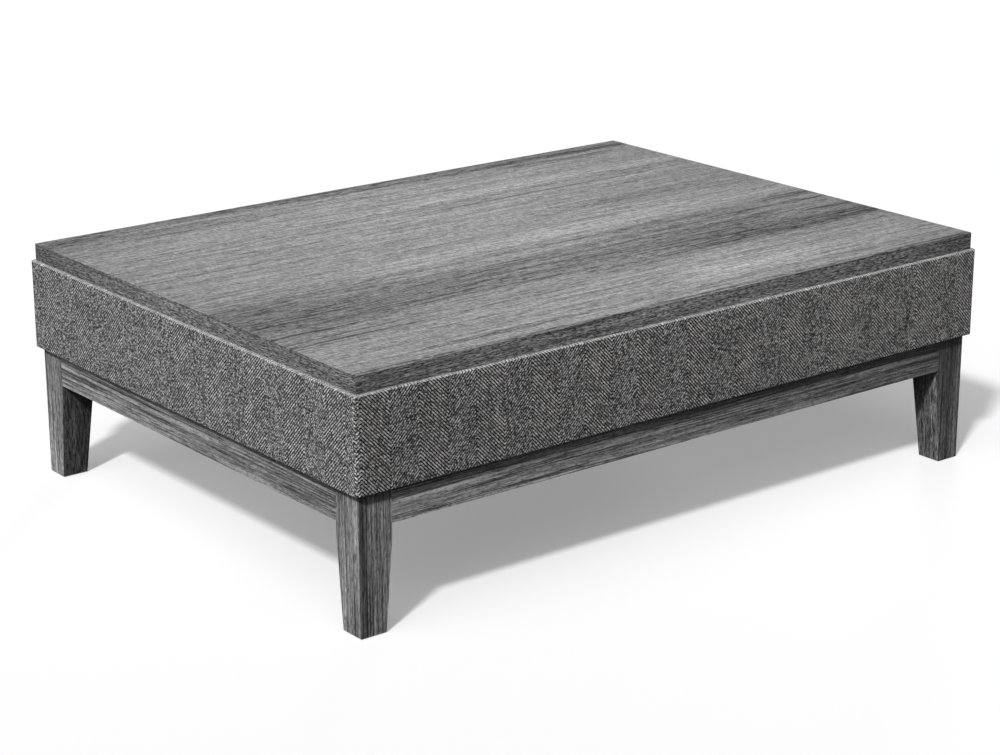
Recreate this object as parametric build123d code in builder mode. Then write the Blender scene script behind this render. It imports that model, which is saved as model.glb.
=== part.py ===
"""Low ottoman coffee table: a wooden top on an upholstered box, carried by a base with four tapered legs.

The origin is on the floor at the middle of the table. X runs along the long side, the front is at -Y, Z is up.
"""

import os

from build123d import *

os.makedirs("parts", exist_ok=True)

# Driving sizes of the whole table, in millimetres
table_length = 1200
table_width = 878
table_height = 375

# Wooden top: the cloth shows as a narrow ledge all round it
top_thickness = 27
ledge = 7
veneer_thickness = 1
lipping_thickness = 10
top_arris = 0.6

# Cloth band
band_height = 140
cloth_thickness = 1.5
band_corner_radius = 7
band_edge_radius = 2
cloth_flap = 18
dust_cover_thickness = 0.6
dust_cover_gap = 0.5

# Legs, rails and box boards all stand this far in from the cloth's face
setback = 10

# Box inside the band
board_thickness = 18
rebate_depth = 9
post_size = 35
bearer_thickness = 20
bearer_housing = 5
bottom_bearer_width = 90
top_bearer_width = 60

# Base: the faces of the legs and rails are in one plane
leg_size = 54
foot_size = 42
taper_drop = 17
leg_arris = 1
rail_height = 52
rail_thickness = 24
tenon_thickness = 10
tenon_set_in = 8
tenon_shoulder = 9
mitre_gap = 1
glue_gap = 0.1
cross_rail_height = 40
cross_tenon_length = 12
cross_tenon_shoulder = 8
block_thickness = 28
block_reach = 70
block_tip = 8
block_screw_reach = 48
block_screw_grip = 22
cross_screw_grip = 20

# Glides under the feet
glide_diameter = 22
glide_thickness = 4
glide_stand = 1
glide_clearance = 0.2
glide_sides = 24

# Wood screws: a long kind for the box and a short kind for the rest
screw_diameter = 4.5
screw_head_diameter = 9
screw_head_height = 3
long_screw = 45
short_screw = 38
counterbore_clearance = 0.5
screw_sides = 8

# Bolts that hold the base to the box, with washers and T-nuts
bolt_diameter = 8
bolt_head_flats = 13
bolt_head_height = 5.3
bolt_head_sides = 6
bolt_end = 2
bolt_clearance = 0.5
thread_clearance = 0.05
washer_diameter = 24
washer_thickness = 2
tee_flange_diameter = 22
tee_flange_thickness = 1.5
tee_barrel_diameter = 10
tee_barrel_length = 12
bolt_sides = 12

# Staples that pin the cloth's flap and the dust cover under the box
staple_crown = 9
staple_leg = 8
staple_wire = 0.7
staple_wire_width = 1.2
staple_pitch = 180

# Places of fixings, as shares of the piece that they run into
long_side_post_screw_share = 0.35
short_side_post_screw_share = 0.65
top_screw_shares = (-0.36, 0.36)
cross_screw_shares = (-0.25, 0.25)
block_screw_height_share = 0.5
bolt_share = 0.42

# Levels, from the floor up
band_top = table_height - top_thickness
band_bottom = band_top - band_height
board_bottom = band_bottom + cloth_thickness
board_height = band_height - 2 * cloth_thickness
post_bottom = board_bottom + bearer_thickness
top_bearer_bottom = band_top - bearer_thickness
post_height = top_bearer_bottom - post_bottom
rail_bottom = band_bottom - rail_height
taper_top = rail_bottom - taper_drop
tenon_height = rail_height - 2 * tenon_shoulder
tenon_bottom = rail_bottom + tenon_shoulder
cross_rail_bottom = band_bottom - cross_rail_height
cross_tenon_height = cross_rail_height - 2 * cross_tenon_shoulder
cross_tenon_bottom = cross_rail_bottom + cross_tenon_shoulder
block_bottom = band_bottom - block_thickness
block_screw_z = block_bottom + block_screw_height_share * block_thickness

# Distances in from the cloth's face
board_inner = setback + board_thickness
rail_inner = setback + rail_thickness
leg_inner = setback + leg_size
foot_middle = setback + foot_size / 2
tenon_outer = setback + tenon_set_in
tenon_inner = tenon_outer + tenon_thickness
bearer_end = board_inner - bearer_housing
block_end = leg_inner + block_reach
block_screw_seat = rail_inner + block_screw_grip
block_screw_along = leg_inner + block_screw_reach
block_slope_middle = (block_end + rail_inner + block_tip) / 2
bolt_inset = leg_inner + bolt_share * (block_slope_middle - leg_inner)
staple_inset = cloth_flap + dust_cover_gap / 2

half_length = table_length / 2
half_width = table_width / 2
middle_min = (Align.CENTER, Align.MIN)

# A plane for each side, on the cloth's face at the floor: X runs along the side and Y points in
side_planes = {
    "front": Plane(origin=(0, -half_width, 0), x_dir=(1, 0, 0)),
    "right": Plane(origin=(half_length, 0, 0), x_dir=(0, 1, 0)),
    "back": Plane(origin=(0, half_width, 0), x_dir=(-1, 0, 0)),
    "left": Plane(origin=(-half_length, 0, 0), x_dir=(0, -1, 0)),
}
half_lengths = {"front": half_length, "right": half_width, "back": half_length, "left": half_width}
long_sides = ("front", "back")

# A plane for each corner, at the cloth's corner on the floor: X and Y both point in
corner_planes = {
    "front_left": Plane(origin=(-half_length, -half_width, 0), x_dir=(1, 0, 0)),
    "front_right": Plane(origin=(half_length, -half_width, 0), x_dir=(0, 1, 0)),
    "back_right": Plane(origin=(half_length, half_width, 0), x_dir=(-1, 0, 0)),
    "back_left": Plane(origin=(-half_length, half_width, 0), x_dir=(0, -1, 0)),
}

# Bearers run from the front board to the back board: the middle of each in X
bottom_bearer_x = half_length - board_inner - bottom_bearer_width / 2
top_bearer_x = half_length - board_inner - top_bearer_width / 2
bearer_places = {"left": -1, "centre": 0, "right": 1}
bearer_length = table_width - 2 * bearer_end


def keep(part, name):
    """Label a finished piece and write it to its own file."""
    part.label = name
    export_step(part, f"parts/{name}.step")


def facing(base, along, inset, height, direction):
    """A plane that faces along `direction`, at a place measured from the plane `base`."""
    return Plane(origin=base.from_local_coords((along, inset, height)), z_dir=direction)


def copies(piece, planes):
    """Copies of one small piece, one on each plane, as a group of separate solids."""
    with BuildPart() as group:
        with Locations(*[plane.location for plane in planes]):
            add(piece)
    return group.part


# Wood screws, drawn with a few flats round them
def make_screw(length):
    """A screw that points up Z, its head sunk below the origin's plane."""
    with BuildPart() as screw:
        with BuildSketch():
            RegularPolygon(screw_head_diameter / 2, screw_sides)
        extrude(amount=screw_head_height)
        with BuildSketch():
            RegularPolygon(screw_diameter / 2, screw_sides)
        extrude(amount=length)
    return screw.part


def box_screw_planes():
    """Heads of the screws that run through the boards into the corner posts."""
    planes = []
    for side, plane in side_planes.items():
        share = short_side_post_screw_share
        if side in long_sides:
            share = long_side_post_screw_share
        height = post_bottom + share * post_height
        reach = half_lengths[side] - board_inner - post_size / 2
        for along in (-reach, reach):
            planes.append(facing(plane, along, setback, height, plane.y_dir))
    return planes


def block_screw_planes():
    """Heads of the screws that run through the corner blocks into the rails."""
    planes = []
    for corner in corner_planes.values():
        planes.append(facing(corner, block_screw_along, block_screw_seat, block_screw_z, -corner.y_dir))
        planes.append(facing(corner, block_screw_seat, block_screw_along, block_screw_z, -corner.x_dir))
    return planes


top_screw_planes = [
    Plane(origin=(place * top_bearer_x, share * table_width, top_bearer_bottom))
    for place in bearer_places.values()
    for share in top_screw_shares
]
cross_screw_planes = [
    Plane(origin=(0, share * table_width, band_bottom - cross_screw_grip)) for share in cross_screw_shares
]
box_screws = copies(make_screw(long_screw), box_screw_planes())
block_screws = copies(make_screw(short_screw), block_screw_planes())
top_screws = copies(make_screw(short_screw), top_screw_planes)
cross_rail_screws = copies(make_screw(short_screw), cross_screw_planes)
keep(box_screws, "box_screws")
keep(block_screws, "block_screws")
keep(top_screws, "top_screws")
keep(cross_rail_screws, "cross_rail_screws")


# Bolts, washers and T-nuts: one of each over every corner block
def corner_spots(inset, height):
    """A plane at the same place in each corner, facing up."""
    return [
        Plane(origin=corner.from_local_coords((inset, inset, height))) for corner in corner_planes.values()
    ]


bolt_length = (
    washer_thickness
    + block_thickness
    + cloth_thickness
    + bearer_thickness
    + tee_flange_thickness
    + bolt_end
)

with BuildPart() as bolt:
    with BuildSketch():
        RegularPolygon(bolt_head_flats / 2, bolt_head_sides, major_radius=False)
    extrude(amount=-bolt_head_height)
    with BuildSketch():
        RegularPolygon(bolt_diameter / 2, bolt_sides)
    extrude(amount=bolt_length)

with BuildPart() as washer:
    with BuildSketch():
        RegularPolygon(washer_diameter / 2, bolt_sides)
        RegularPolygon(bolt_diameter / 2 + bolt_clearance, bolt_sides, mode=Mode.SUBTRACT)
    extrude(amount=washer_thickness)

with BuildPart() as tee_nut:
    with BuildSketch():
        RegularPolygon(tee_flange_diameter / 2, bolt_sides)
    extrude(amount=tee_flange_thickness)
    with BuildSketch():
        RegularPolygon(tee_barrel_diameter / 2, bolt_sides)
    extrude(amount=-tee_barrel_length)
    with BuildSketch(Plane.XY.offset(-tee_barrel_length)):
        RegularPolygon(bolt_diameter / 2 + thread_clearance, bolt_sides)
    extrude(amount=tee_barrel_length + tee_flange_thickness, mode=Mode.SUBTRACT)

bolt_spots = corner_spots(bolt_inset, block_bottom - washer_thickness)
bolt_places = [tuple(spot.origin)[:2] for spot in bolt_spots]
keep(copies(bolt.part, bolt_spots), "base_bolts")
keep(copies(washer.part, bolt_spots), "base_washers")
keep(copies(tee_nut.part, corner_spots(bolt_inset, post_bottom)), "tee_nuts")

# Glides, let into the feet
with BuildPart() as glide:
    with BuildSketch():
        RegularPolygon(glide_diameter / 2, glide_sides)
    extrude(amount=glide_thickness)
keep(copies(glide.part, corner_spots(foot_middle, 0)), "foot_glides")

# Staples: each crown lies across the edge of the flap, with one leg through it and one through the dust cover
with BuildPart() as staple:
    with BuildSketch(Plane.YZ):
        Rectangle(staple_crown, staple_wire + staple_leg, align=middle_min)
        with Locations((0, staple_wire)):
            Rectangle(staple_crown - 2 * staple_wire, staple_leg, align=middle_min, mode=Mode.SUBTRACT)
    extrude(amount=staple_wire_width / 2, both=True)

staple_planes = []
for side, plane in side_planes.items():
    row = 2 * (half_lengths[side] - leg_inner)
    count = int(row / staple_pitch) + 1
    for index in range(count):
        along = staple_pitch * (index - (count - 1) / 2)
        spot = plane.from_local_coords((along, staple_inset, band_bottom))
        staple_planes.append(Plane(origin=spot, x_dir=plane.x_dir))
staples = copies(staple.part, staple_planes)
keep(staples, "staples")


# Base: legs
def make_leg(corner):
    """A leg, square where the rails join and tapered below on its two inner faces, with mortises that meet."""
    mortise_width = tenon_thickness + 2 * glue_gap
    mortise_reach = leg_inner - tenon_outer + glue_gap
    with BuildPart() as leg:
        with BuildSketch(corner.offset(glide_stand)) as column:
            with Locations((setback, setback)):
                Rectangle(leg_size, leg_size, align=Align.MIN)
            fillet(column.vertices().sort_by_distance((0, 0, 0))[0], leg_arris)
        extrude(amount=band_bottom - glide_stand)
        bend = corner.from_local_coords((leg_inner, leg_inner, taper_top))
        for inward in (corner.x_dir, corner.y_dir):
            slope = inward * (taper_top - glide_stand) - corner.z_dir * (leg_size - foot_size)
            split(bisect_by=Plane(origin=bend, z_dir=slope), keep=Keep.BOTTOM)
        with BuildSketch(corner.offset(tenon_bottom - glue_gap)):
            with Locations((tenon_outer - glue_gap, tenon_outer - glue_gap)):
                Rectangle(mortise_reach, mortise_width, align=Align.MIN)
                Rectangle(mortise_width, mortise_reach, align=Align.MIN)
        extrude(amount=tenon_height + 2 * glue_gap, mode=Mode.SUBTRACT)
        with BuildSketch(corner.offset(glide_stand)):
            with Locations((foot_middle, foot_middle)):
                RegularPolygon(glide_diameter / 2 + glide_clearance, glide_sides)
        extrude(amount=glide_thickness - glide_stand, mode=Mode.SUBTRACT)
    return leg.part


for name, corner in corner_planes.items():
    keep(make_leg(corner), f"leg_{name}")


# Base: rails
def make_rail(side):
    """A rail, flush with the legs, with a tenon at each end that is mitred where it meets its neighbour."""
    plane = side_planes[side]
    half = half_lengths[side]
    tip_outer = half - tenon_outer - mitre_gap / 2
    tip_inner = half - tenon_inner - mitre_gap / 2
    with BuildPart() as rail:
        with BuildSketch(plane.offset(rail_bottom)):
            with Locations((0, setback)):
                Rectangle(2 * (half - leg_inner), rail_thickness, align=middle_min)
        extrude(amount=rail_height)
        with BuildSketch(plane.offset(tenon_bottom)):
            with BuildLine():
                Polyline(
                    (-tip_outer, tenon_outer),
                    (tip_outer, tenon_outer),
                    (tip_inner, tenon_inner),
                    (-tip_inner, tenon_inner),
                    close=True,
                )
            make_face()
        extrude(amount=tenon_height)
        if side in long_sides:
            with BuildSketch(plane.offset(cross_tenon_bottom - glue_gap)):
                with Locations((0, rail_inner - cross_tenon_length - glue_gap)):
                    Rectangle(
                        tenon_thickness + 2 * glue_gap, cross_tenon_length + glue_gap, align=middle_min
                    )
            extrude(amount=cross_tenon_height + 2 * glue_gap, mode=Mode.SUBTRACT)
        add(block_screws, mode=Mode.SUBTRACT)
    return rail.part


for side in side_planes:
    keep(make_rail(side), f"rail_{side}")

# Base: cross rail from the front rail to the back rail, under the box's middle bearer
with BuildPart() as cross_rail:
    shoulder_length = table_width - 2 * rail_inner
    with BuildSketch(Plane.XY.offset(cross_rail_bottom)):
        Rectangle(rail_thickness, shoulder_length)
    extrude(amount=cross_rail_height)
    with BuildSketch(Plane.XY.offset(cross_tenon_bottom)):
        Rectangle(tenon_thickness, shoulder_length + 2 * cross_tenon_length)
    extrude(amount=cross_tenon_height)
    with BuildSketch(Plane.XY.offset(cross_rail_bottom)):
        with Locations(*[(0, share * table_width) for share in cross_screw_shares]):
            RegularPolygon(screw_head_diameter / 2 + counterbore_clearance, screw_sides)
    extrude(amount=cross_rail_height - cross_screw_grip, mode=Mode.SUBTRACT)
    add(cross_rail_screws, mode=Mode.SUBTRACT)
keep(cross_rail.part, "cross_rail")


# Base: corner blocks
def make_corner_block(corner):
    """A block that fills the corner behind a leg, screwed to both rails and bored for the bolt to the box."""
    mouths = (
        facing(corner, block_screw_along, block_screw_seat, block_screw_z, corner.y_dir),
        facing(corner, block_screw_seat, block_screw_along, block_screw_z, corner.x_dir),
    )
    with BuildPart() as block:
        with BuildSketch(corner.offset(block_bottom)):
            with BuildLine():
                Polyline(
                    (leg_inner, rail_inner),
                    (block_end, rail_inner),
                    (block_end, rail_inner + block_tip),
                    (rail_inner + block_tip, block_end),
                    (rail_inner, block_end),
                    (rail_inner, leg_inner),
                    (leg_inner, leg_inner),
                    close=True,
                )
            make_face()
            with Locations((bolt_inset, bolt_inset)):
                RegularPolygon(bolt_diameter / 2 + bolt_clearance, bolt_sides, mode=Mode.SUBTRACT)
        extrude(amount=block_thickness)
        for mouth in mouths:
            with BuildSketch(mouth):
                RegularPolygon(screw_head_diameter / 2 + counterbore_clearance, screw_sides)
            extrude(amount=block_end, mode=Mode.SUBTRACT)
        add(block_screws, mode=Mode.SUBTRACT)
    return block.part


for name, corner in corner_planes.items():
    keep(make_corner_block(corner), f"corner_block_{name}")


# Box: bearers from front to back, at the bottom of the box and at the top
def make_bearer(middle, width, bottom, holes, bored):
    """A flat bearer whose ends are housed in the long boards; an end one at the bottom is bored for T-nuts."""
    with BuildPart() as bearer:
        with BuildSketch(Plane.XY.offset(bottom)):
            with Locations((middle, 0)):
                Rectangle(width, bearer_length)
            if bored:
                with Locations(*bolt_places):
                    RegularPolygon(
                        tee_barrel_diameter / 2 + glue_gap, bolt_sides, mode=Mode.SUBTRACT
                    )
        extrude(amount=bearer_thickness)
        for group in holes:
            add(group, mode=Mode.SUBTRACT)
    return bearer.part


for place, sign in bearer_places.items():
    bottom_bearer = make_bearer(
        sign * bottom_bearer_x,
        bottom_bearer_width,
        board_bottom,
        (cross_rail_screws, staples),
        bored=place != "centre",
    )
    keep(bottom_bearer, f"bottom_bearer_{place}")
    top_bearer = make_bearer(
        sign * top_bearer_x,
        top_bearer_width,
        top_bearer_bottom,
        (top_screws,),
        bored=False,
    )
    keep(top_bearer, f"top_bearer_{place}")


# Box: corner posts, standing on the bottom bearers and carrying the top ones
def make_post(corner):
    """A square post in the corner of the box, screwed to both boards."""
    with BuildPart() as post:
        with BuildSketch(corner.offset(post_bottom)):
            with Locations((board_inner, board_inner)):
                Rectangle(post_size, post_size, align=Align.MIN)
        extrude(amount=post_height)
        add(box_screws, mode=Mode.SUBTRACT)
    return post.part


for name, corner in corner_planes.items():
    keep(make_post(corner), f"corner_post_{name}")


# Box: boards on edge
def make_board(side):
    """A board on edge. The long ones are rebated for the short ones and housed for the bearers."""
    plane = side_planes[side]
    half = half_lengths[side]
    end = half - setback
    if side not in long_sides:
        end = half - board_inner + rebate_depth
    with BuildPart() as board:
        with BuildSketch(plane.offset(board_bottom)):
            with Locations((0, setback)):
                Rectangle(2 * end, board_thickness, align=middle_min)
            if side in long_sides:
                with Locations((-end, board_inner), (end, board_inner)):
                    Rectangle(2 * board_thickness, 2 * rebate_depth, mode=Mode.SUBTRACT)
        extrude(amount=board_height)
        if side in long_sides:
            rows = (
                (bottom_bearer_x, bottom_bearer_width, board_bottom),
                (top_bearer_x, top_bearer_width, top_bearer_bottom),
            )
            for reach, width, bottom in rows:
                with BuildSketch(plane.offset(bottom)):
                    with Locations(*[(place * reach, board_inner) for place in bearer_places.values()]):
                        Rectangle(width, 2 * bearer_housing)
                extrude(amount=bearer_thickness, mode=Mode.SUBTRACT)
        add(box_screws, mode=Mode.SUBTRACT)
        add(staples, mode=Mode.SUBTRACT)
    return board.part


for side in side_planes:
    keep(make_board(side), f"box_board_{side}")


# Padding and cloth
def band_form(inset):
    """The band's rounded form, drawn in by `inset` all over."""
    with BuildPart() as form:
        with BuildSketch(Plane.XY.offset(band_bottom + inset)):
            RectangleRounded(
                table_length - 2 * inset,
                table_width - 2 * inset,
                band_corner_radius - inset,
            )
        extrude(amount=band_height - 2 * inset)
        levels = form.edges().group_by(Axis.Z)
        fillet(levels[0] + levels[-1], band_edge_radius - inset)
    return form.part


with BuildPart() as foam_form:
    with BuildSketch(Plane.XY.offset(board_bottom)) as foam_outline:
        Rectangle(table_length - 2 * cloth_thickness, table_width - 2 * cloth_thickness)
        chamfer(foam_outline.vertices(), band_corner_radius - cloth_thickness)
    extrude(amount=board_height)
    foam_levels = foam_form.edges().group_by(Axis.Z)
    chamfer(foam_levels[0] + foam_levels[-1], band_edge_radius - cloth_thickness)


def make_foam_pad(side):
    """A foam pad on the outside of a board. The long ones run past the short ones at the corners."""
    plane = side_planes[side]
    end = half_lengths[side] - setback
    if side in long_sides:
        end = half_lengths[side]
    with BuildPart() as pad:
        with BuildSketch(plane.offset(board_bottom)):
            with Locations((0, cloth_thickness)):
                Rectangle(2 * end, setback - cloth_thickness, align=middle_min)
        extrude(amount=board_height)
        add(foam_form.part, mode=Mode.INTERSECT)
    return pad.part


for side in side_planes:
    keep(make_foam_pad(side), f"foam_pad_{side}")

# The cloth is one band, turned in over the top and under the bottom of the boards
with BuildPart() as cloth_cover:
    add(band_form(0))
    add(band_form(cloth_thickness), mode=Mode.SUBTRACT)
    with BuildSketch(Plane.XY.offset(band_bottom)):
        Rectangle(table_length - 2 * cloth_flap, table_width - 2 * cloth_flap)
    extrude(amount=band_height, mode=Mode.SUBTRACT)
    add(staples, mode=Mode.SUBTRACT)
keep(cloth_cover.part, "cloth_cover")

with BuildPart() as dust_cover:
    hem = cloth_flap + dust_cover_gap
    with BuildSketch(Plane.XY.offset(board_bottom - dust_cover_thickness)):
        Rectangle(table_length - 2 * hem, table_width - 2 * hem)
        with Locations(*bolt_places):
            RegularPolygon(bolt_diameter / 2 + bolt_clearance, bolt_sides, mode=Mode.SUBTRACT)
    extrude(amount=dust_cover_thickness)
    add(cross_rail_screws, mode=Mode.SUBTRACT)
    add(staples, mode=Mode.SUBTRACT)
keep(dust_cover.part, "dust_cover")

# Top: core, lippings mitred round it, and a veneer on each face
top_length = table_length - 2 * ledge
top_width = table_width - 2 * ledge
core_bottom = band_top + veneer_thickness
core_thickness = top_thickness - 2 * veneer_thickness

with BuildPart() as backing_veneer:
    with BuildSketch(Plane.XY.offset(band_top)):
        Rectangle(top_length, top_width)
    extrude(amount=veneer_thickness)
    add(top_screws, mode=Mode.SUBTRACT)
keep(backing_veneer.part, "backing_veneer")

with BuildPart() as top_core:
    with BuildSketch(Plane.XY.offset(core_bottom)):
        Rectangle(top_length - 2 * lipping_thickness, top_width - 2 * lipping_thickness)
    extrude(amount=core_thickness)
    add(top_screws, mode=Mode.SUBTRACT)
keep(top_core.part, "top_core")


def make_lipping(side):
    """A solid wood lipping on one edge of the core, mitred at both ends."""
    end = half_lengths[side] - ledge
    with BuildPart() as lipping:
        with BuildSketch(side_planes[side].offset(core_bottom)):
            with BuildLine():
                Polyline(
                    (-end, ledge),
                    (end, ledge),
                    (end - lipping_thickness, ledge + lipping_thickness),
                    (lipping_thickness - end, ledge + lipping_thickness),
                    close=True,
                )
            make_face()
        extrude(amount=core_thickness)
    return lipping.part


for side in side_planes:
    keep(make_lipping(side), f"lipping_{side}")

with BuildPart() as face_veneer:
    with BuildSketch(Plane.XY.offset(table_height - veneer_thickness)):
        Rectangle(top_length, top_width)
    extrude(amount=veneer_thickness)
    chamfer(face_veneer.edges().group_by(Axis.Z)[-1], top_arris)
keep(face_veneer.part, "face_veneer")
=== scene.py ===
# %% [markdown]
# # A low table with a tweed band
#
# The real object is a wooden top on a shallow upholstered box, carried by a wooden base
# with four tapered legs. The construction is already drawn to size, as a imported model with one
# node for each piece. This lesson dresses that model: it lights it, draws each finish as a
# set of shader nodes, and models the soft and small pieces whose plain solids only hold the place.
#
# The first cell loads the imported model. Every size below is written in millimetres and
# multiplied by `mm`, because Blender works in metres.

# %% Load the construction
import math

import bmesh
import bpy
from mathutils import Matrix, Vector


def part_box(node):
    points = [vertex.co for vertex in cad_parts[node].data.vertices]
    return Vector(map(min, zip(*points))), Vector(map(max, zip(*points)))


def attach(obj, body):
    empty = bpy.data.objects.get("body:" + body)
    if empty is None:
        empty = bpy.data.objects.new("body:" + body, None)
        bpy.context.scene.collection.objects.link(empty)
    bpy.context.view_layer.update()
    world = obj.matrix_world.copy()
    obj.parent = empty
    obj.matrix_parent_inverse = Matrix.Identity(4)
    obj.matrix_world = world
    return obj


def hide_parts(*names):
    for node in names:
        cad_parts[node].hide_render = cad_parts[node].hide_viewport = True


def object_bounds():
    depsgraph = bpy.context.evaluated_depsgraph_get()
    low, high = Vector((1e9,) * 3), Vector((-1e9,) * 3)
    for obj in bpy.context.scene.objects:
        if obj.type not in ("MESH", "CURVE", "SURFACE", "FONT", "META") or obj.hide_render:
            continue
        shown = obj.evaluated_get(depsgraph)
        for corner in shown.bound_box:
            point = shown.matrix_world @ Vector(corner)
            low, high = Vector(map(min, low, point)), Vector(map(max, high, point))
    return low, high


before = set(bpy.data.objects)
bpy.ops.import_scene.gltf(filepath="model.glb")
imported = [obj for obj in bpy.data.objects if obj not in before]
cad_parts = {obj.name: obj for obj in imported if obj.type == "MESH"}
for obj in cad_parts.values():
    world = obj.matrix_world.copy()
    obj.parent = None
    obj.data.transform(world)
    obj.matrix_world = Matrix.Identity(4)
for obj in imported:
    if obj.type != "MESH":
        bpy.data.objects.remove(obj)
cad_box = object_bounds()
mm = 0.001
length, width, height = cad_box[1] - cad_box[0]
print(len(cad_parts), "pieces in the construction")
print("box in mm:", [round(side / mm, 1) for side in (length, width, height)])

# %% [markdown]
# ## Camera
#
# A product shot like this one is taken with a long lens from a little above, so upright lines
# stay nearly upright. The camera could be aimed by eye, but the corners of the table are known
# in both the picture and the model, so its angles were worked out from them: it turns round the
# table by an azimuth, rises by an elevation, and stands back by a distance. The rest is two small
# sideways moves and a tiny roll.

# %% Camera
azimuth, elevation, roll = (math.radians(angle) for angle in (-38.276, 17.821, -0.123))
stand_back = 3972.12 * mm
aim_right, aim_up, aim_height = -9.695 * mm, -53.082 * mm, 200 * mm
focal_share = 2.50259
sensor = 36
shift_right, shift_up = -0.0005, 0.0006
nearest_seen, furthest_seen = 100 * mm, 400

back = Vector(
    (
        math.sin(azimuth) * math.cos(elevation),
        -math.cos(azimuth) * math.cos(elevation),
        math.sin(elevation),
    )
)
level_right = Vector((math.cos(azimuth), math.sin(azimuth), 0))
level_up = back.cross(level_right)
camera_right = level_right * math.cos(roll) + level_up * math.sin(roll)
camera_up = level_up * math.cos(roll) - level_right * math.sin(roll)
stand = level_right * aim_right + level_up * aim_up + Vector((0, 0, aim_height)) + back * stand_back

lens = bpy.data.cameras.new("camera")
lens.sensor_width = sensor
lens.lens = focal_share * sensor
lens.clip_start = nearest_seen
lens.clip_end = furthest_seen
lens.shift_x = shift_right
lens.shift_y = shift_up
camera = bpy.data.objects.new("camera", lens)
turn = Matrix((camera_right, camera_up, back)).transposed().to_4x4()
camera.matrix_world = Matrix.Translation(stand) @ turn
bpy.context.scene.collection.objects.link(camera)
bpy.context.scene.camera = camera
print("camera at", [round(value, 3) for value in stand])
print("lens of", round(lens.lens, 1), "mm")

# %% [markdown]
# ## Light
#
# The shadow on the floor tells how the studio was lit. Its straight edges are thrown by the
# lowest edges of the rails, so the way from rail to shadow gives the direction of the key light,
# and the width of the blur gives how large that light looks. A sun lamp is the right kind,
# because its rays are parallel and light the whole floor alike. Two weaker lamps stand for the
# soft boxes, a wide one overhead on the left and one low behind, so no side of the table is
# black. A low lamp behind would lie as a streak of gloss on the table top, so that one is hidden
# from reflections and only lights.

# %% Lamps
lamps = (
    # name, direction of its rays, share of full white, spread in degrees, seen in reflections
    ("key", (0.888, 0.5275, -1), 0.89, 5.5, True),
    ("overhead", (0.575, 0.26, -0.776), 0.355, 70, True),
    ("rear", (-0.8, -0.75, -0.16), 0.45, 16, False),
)
lamp_height = 3


def add_lamp(name, direction, strength, spread, in_reflections):
    """A lamp with parallel rays."""
    light = bpy.data.lights.new(name, "SUN")
    light.energy = strength * math.pi
    light.angle = math.radians(spread)
    lamp = bpy.data.objects.new(name, light)
    lamp.rotation_mode = "QUATERNION"
    lamp.rotation_quaternion = Vector(direction).to_track_quat("-Z", "Y")
    lamp.location = (0, 0, lamp_height)
    lamp.visible_glossy = in_reflections
    bpy.context.scene.collection.objects.link(lamp)


for values in lamps:
    add_lamp(*values)
print(len(lamps), "lamps")

# %% [markdown]
# ## Shader sums that read like sums
#
# A procedural finish is arithmetic on the place of a point: how far along the grain it is, which
# thread it falls on. Blender writes such arithmetic as nodes and links, which is hard to read.
# The class below wraps a node's output, so that `tone * 0.5 + grain` adds the two Math
# nodes by itself. Python uses the reflected forms, such as `__rsub__`, where a plain number
# stands first, as in `1 - mask`.

# %% Sums of varying values
class Varying:
    """A number or colour that changes over a surface: the output of one node."""

    def __init__(self, finish, socket):
        self.finish = finish
        self.socket = socket

    def maths(self, operation, *values):
        sockets = dict(enumerate(values))
        return self.finish.add("ShaderNodeMath", {"operation": operation}, sockets)

    def __add__(self, other):
        return self.maths("ADD", self, other)

    def __radd__(self, other):
        return self.maths("ADD", other, self)

    def __sub__(self, other):
        return self.maths("SUBTRACT", self, other)

    def __rsub__(self, other):
        return self.maths("SUBTRACT", other, self)

    def __mul__(self, other):
        return self.maths("MULTIPLY", self, other)

    def __rmul__(self, other):
        return self.maths("MULTIPLY", other, self)

    def __truediv__(self, other):
        return self.maths("DIVIDE", self, other)

    def __pow__(self, other):
        return self.maths("POWER", self, other)

    def __rpow__(self, other):
        return self.maths("POWER", other, self)

    def __lt__(self, other):
        return self.maths("LESS_THAN", self, other)

    def floor(self):
        return self.maths("FLOOR", self)

    def fract(self):
        return self.maths("FRACT", self)

    def absolute(self):
        return self.maths("ABSOLUTE", self)

    def sine(self):
        return self.maths("SINE", self)

    def root(self):
        return self.maths("SQRT", self)

    def cycle(self, period):
        return self.maths("FLOORED_MODULO", self, period)

    def to_and_fro(self, period):
        return self.maths("PINGPONG", self, period)

    def least(self, other):
        return self.maths("MINIMUM", self, other)

    def most(self, other):
        return self.maths("MAXIMUM", self, other)

    def rise(self, low, high):
        """0 below `low`, 1 above `high` and a smooth slope between them."""
        return self.finish.add(
            "ShaderNodeMapRange",
            {"interpolation_type": "SMOOTHSTEP"},
            {"Value": self, "From Min": low, "From Max": high},
        )


print("sums ready")

# %% [markdown]
# ## The finish being drawn
#
# A material is a tree of nodes, and the next class holds that tree while it grows. One method
# adds any node: its kind, its settings, then the values or links of its sockets. The settings
# come first, because some of them decide what a node puts out. The other methods are what all
# finishes share: the place of a point, soft clouds, cells, scattered numbers and relief.

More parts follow.
